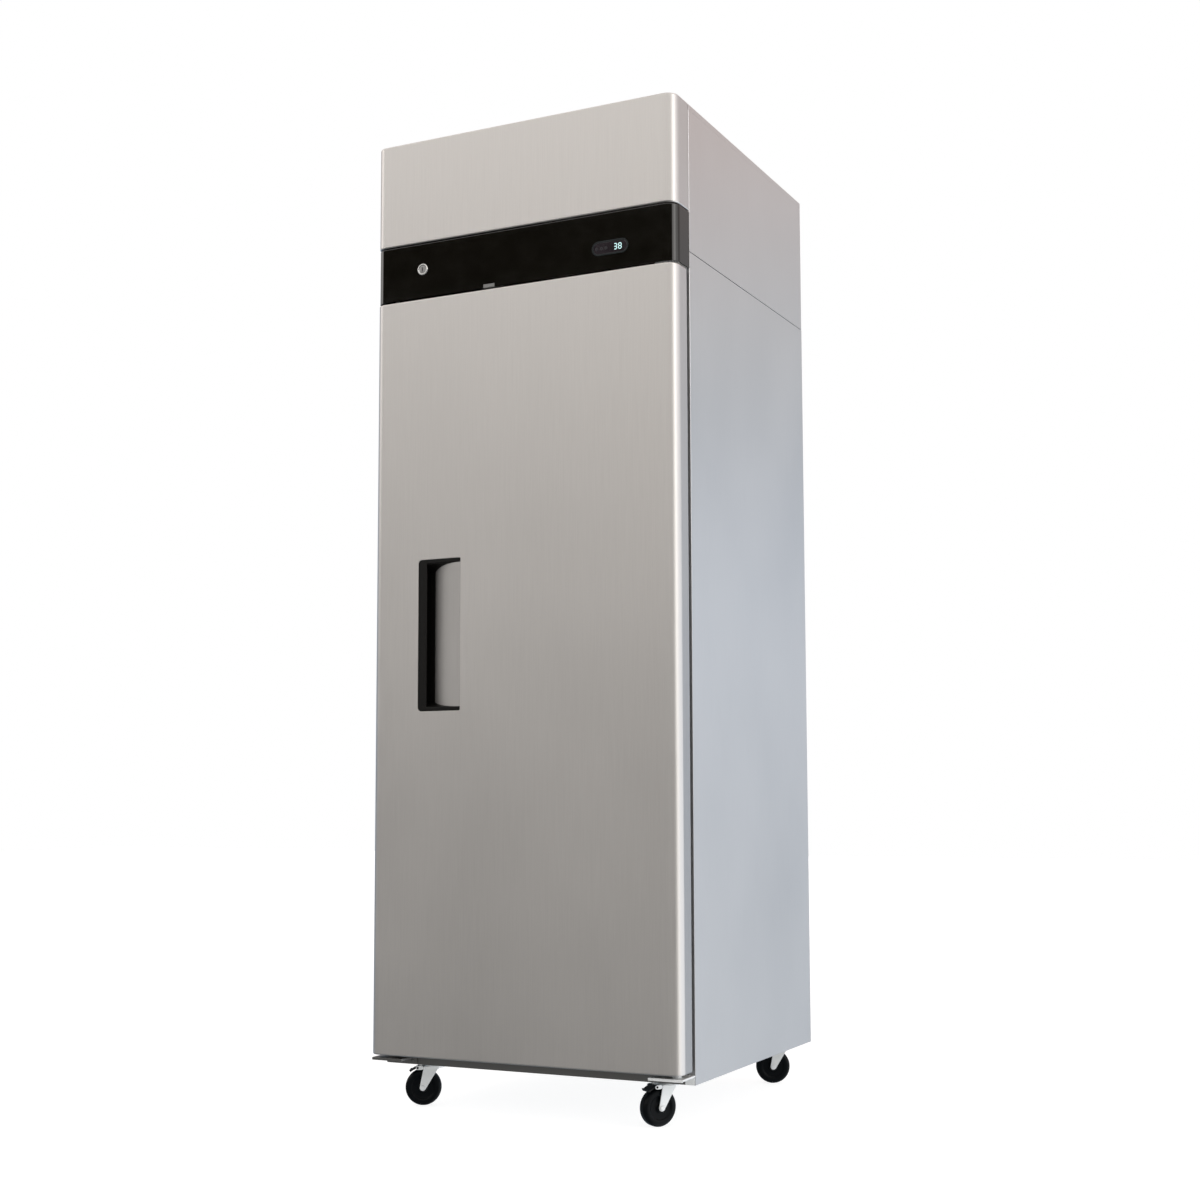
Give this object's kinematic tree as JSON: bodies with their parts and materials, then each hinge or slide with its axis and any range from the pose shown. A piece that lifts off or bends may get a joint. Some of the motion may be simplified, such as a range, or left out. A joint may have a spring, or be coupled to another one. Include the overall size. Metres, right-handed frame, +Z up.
{
  "type": "reach-in refrigerator",
  "caption": "Upright stainless reach-in refrigerator with a hinged solid door, black control strip, recessed handle, wire shelves and swivel casters.",
  "frame": {"origin": "on the floor under the middle of the body's overall box", "axes": "+Z up; the door faces -Y; +X is to the right of someone facing the door"},
  "size_m": [0.7, 0.724, 2.03],
  "materials": {
    "brushed_front": "satin",
    "side_steel": "satin",
    "face_steel": "satin",
    "galvanised": "matte",
    "liner_aluminium": "satin",
    "foam": "matte",
    "strip_black": "gloss",
    "bezel_dark": "satin",
    "display_dark": "gloss",
    "key_grey": "satin",
    "lock_chrome": "polished",
    "switch_pale": "satin",
    "zinc_plate": "satin",
    "pilaster_steel": "satin",
    "shelf_coating": "satin",
    "gasket_rubber": "matte",
    "handle_black": "satin",
    "scoop_steel": "satin",
    "evaporator_aluminium": "satin",
    "motor_grey": "satin",
    "fan_plastic": "satin",
    "fan_aluminium": "satin",
    "lamp_lens": "satin",
    "compressor_black": "gloss",
    "condenser_fins": "satin",
    "shroud_black": "satin",
    "copper": "satin",
    "box_grey": "satin",
    "gland_black": "satin",
    "wheel_rubber": "satin",
    "pedal_black": "satin"
  },
  "bodies": {
    "cabinet": {"side_panel_left": "side_steel", "side_panel_right": "side_steel", "back_panel": "galvanised", "base_pan": "galvanised", "top_deck": "galvanised", "insulation": "foam", "inner_liner": "liner_aluminium", "face_frame": "face_steel", "shelf_pilasters": "pilaster_steel", "shelf_clips": "zinc_plate", "evaporator_cover": "evaporator_aluminium", "evaporator_coil": "evaporator_aluminium", "evaporator_fan_motor": "motor_grey", "evaporator_fan_guard": "zinc_plate", "interior_lamp": "lamp_lens", "housing_sides": "side_steel", "housing_back": "galvanised", "compressor": "compressor_black", "condenser_coil": "condenser_fins", "condenser_shroud": "shroud_black", "condenser_fan_motor": "motor_grey", "refrigerant_lines": "copper", "electrical_box": "box_grey", "cord_gland": "gland_black", "control_strip": "strip_black", "controller_bezel": "bezel_dark", "display_window": "display_dark", "lock_housing": "lock_chrome", "door_switch_body": "switch_pale", "top_hinge_bracket": "zinc_plate", "bottom_hinge_brackets": "zinc_plate", "caster_plates": "zinc_plate"},
    "door": {"door_skin": "brushed_front", "door_foam": "foam", "door_liner": "liner_aluminium", "door_gasket": "gasket_rubber", "handle_frame": "handle_black", "handle_scoop": "scoop_steel"},
    "cover": {"front_cover": "brushed_front"},
    "lock": {"lock_cylinder": "lock_chrome", "lock_cam": "zinc_plate"},
    "switch_plunger": {"door_switch_plunger": "switch_pale"},
    "evaporator_fan": {"evaporator_fan_blade": "fan_plastic"},
    "condenser_fan": {"condenser_fan_blade": "fan_aluminium"},
    "lower_shelf": {"shelf_lower": "shelf_coating"},
    "middle_shelf": {"shelf_middle": "shelf_coating"},
    "upper_shelf": {"shelf_upper": "shelf_coating"},
    "set_key": {"key_set": "key_grey"},
    "up_key": {"key_up": "key_grey"},
    "down_key": {"key_down": "key_grey"},
    "caster_front_left": {"caster_fork_front_left": "zinc_plate"},
    "wheel_front_left": {"caster_wheel_front_left": "wheel_rubber"},
    "caster_front_right": {"caster_fork_front_right": "zinc_plate"},
    "wheel_front_right": {"caster_wheel_front_right": "wheel_rubber"},
    "caster_rear_left": {"caster_fork_rear_left": "zinc_plate"},
    "wheel_rear_left": {"caster_wheel_rear_left": "wheel_rubber"},
    "caster_rear_right": {"caster_fork_rear_right": "zinc_plate"},
    "wheel_rear_right": {"caster_wheel_rear_right": "wheel_rubber"},
    "brake_left": {"brake_pedal_left": "pedal_black"},
    "brake_right": {"brake_pedal_right": "pedal_black"}
  },
  "joints": [
    {"name": "door_hinge", "type": "hinge", "parent": "cabinet", "child": "door", "pos_m": [0.328, -0.327, 0.9], "axis": [0, 0, 1], "range_deg": [0, 120]},
    {"name": "cover_hinge", "type": "hinge", "parent": "cabinet", "child": "cover", "pos_m": [0, -0.298, 2.0245], "axis": [-1, 0, 0], "range_deg": [0, 75]},
    {"name": "lock_turn", "type": "hinge", "parent": "cabinet", "child": "lock", "pos_m": [-0.2326, -0.333, 1.75], "axis": [0, 1, 0], "range_deg": [0, 90]},
    {"name": "door_switch_press", "type": "slide", "parent": "cabinet", "child": "switch_plunger", "axis": [0, 0, -1], "range_m": [0, 0.003]},
    {"name": "evaporator_fan_spin", "type": "hinge", "parent": "cabinet", "child": "evaporator_fan", "pos_m": [0, 0.06, 1.56], "axis": [0, 0, 1], "continuous": true},
    {"name": "condenser_fan_spin", "type": "hinge", "parent": "cabinet", "child": "condenser_fan", "pos_m": [-0.17, -0.151, 1.86425], "axis": [0, 1, 0], "continuous": true},
    {"name": "shelf_lower_lift", "type": "slide", "parent": "cabinet", "child": "lower_shelf", "axis": [0, 0, 1], "range_m": [0, 0.025]},
    {"name": "shelf_middle_lift", "type": "slide", "parent": "cabinet", "child": "middle_shelf", "axis": [0, 0, 1], "range_m": [0, 0.025]},
    {"name": "shelf_upper_lift", "type": "slide", "parent": "cabinet", "child": "upper_shelf", "axis": [0, 0, 1], "range_m": [0, 0.025]},
    {"name": "key_set_press", "type": "slide", "parent": "cabinet", "child": "set_key", "axis": [0, 1, 0], "range_m": [0, 0.0008], "stiffness_N_per_m": 800},
    {"name": "key_up_press", "type": "slide", "parent": "cabinet", "child": "up_key", "axis": [0, 1, 0], "range_m": [0, 0.0008], "stiffness_N_per_m": 800},
    {"name": "key_down_press", "type": "slide", "parent": "cabinet", "child": "down_key", "axis": [0, 1, 0], "range_m": [0, 0.0008], "stiffness_N_per_m": 800},
    {"name": "caster_front_left_swivel", "type": "hinge", "parent": "cabinet", "child": "caster_front_left", "pos_m": [-0.268, -0.234, 0.08], "axis": [0, 0, 1], "continuous": true},
    {"name": "wheel_front_left_spin", "type": "hinge", "parent": "caster_front_left", "child": "wheel_front_left", "pos_m": [-0.29047, -0.24496, 0.0375], "axis": [0.4384, -0.8988, 0], "continuous": true},
    {"name": "caster_front_right_swivel", "type": "hinge", "parent": "cabinet", "child": "caster_front_right", "pos_m": [0.268, -0.234, 0.08], "axis": [0, 0, 1], "continuous": true},
    {"name": "wheel_front_right_spin", "type": "hinge", "parent": "caster_front_right", "child": "wheel_front_right", "pos_m": [0.25402, -0.25473, 0.0375], "axis": [0.829, -0.5592, 0], "continuous": true},
    {"name": "caster_rear_left_swivel", "type": "hinge", "parent": "cabinet", "child": "caster_rear_left", "pos_m": [-0.296, 0.332, 0.08], "axis": [0, 0, 1], "continuous": true},
    {"name": "wheel_rear_left_spin", "type": "hinge", "parent": "caster_rear_left", "child": "wheel_rear_left", "pos_m": [-0.27124, 0.33548, 0.0375], "axis": [-0.1392, 0.9903, 0], "continuous": true},
    {"name": "caster_rear_right_swivel", "type": "hinge", "parent": "cabinet", "child": "caster_rear_right", "pos_m": [0.296, 0.332, 0.08], "axis": [0, 0, 1], "continuous": true},
    {"name": "wheel_rear_right_spin", "type": "hinge", "parent": "caster_rear_right", "child": "wheel_rear_right", "pos_m": [0.27353, 0.32104, 0.0375], "axis": [0.4384, -0.8988, 0], "continuous": true},
    {"name": "brake_left_press", "type": "hinge", "parent": "caster_front_left", "child": "brake_left", "pos_m": [-0.30036, -0.24978, 0.078], "axis": [0.4384, -0.8988, 0], "range_deg": [0, 7.5]},
    {"name": "brake_right_press", "type": "hinge", "parent": "caster_front_right", "child": "brake_right", "pos_m": [0.24787, -0.26385, 0.078], "axis": [0.829, -0.5592, 0], "range_deg": [0, 7.5]}
  ],
  "couplings": [
    {"joint": "door_switch_press", "follows": "door_hinge", "m_per_rad": 0.0014324}
  ]
}
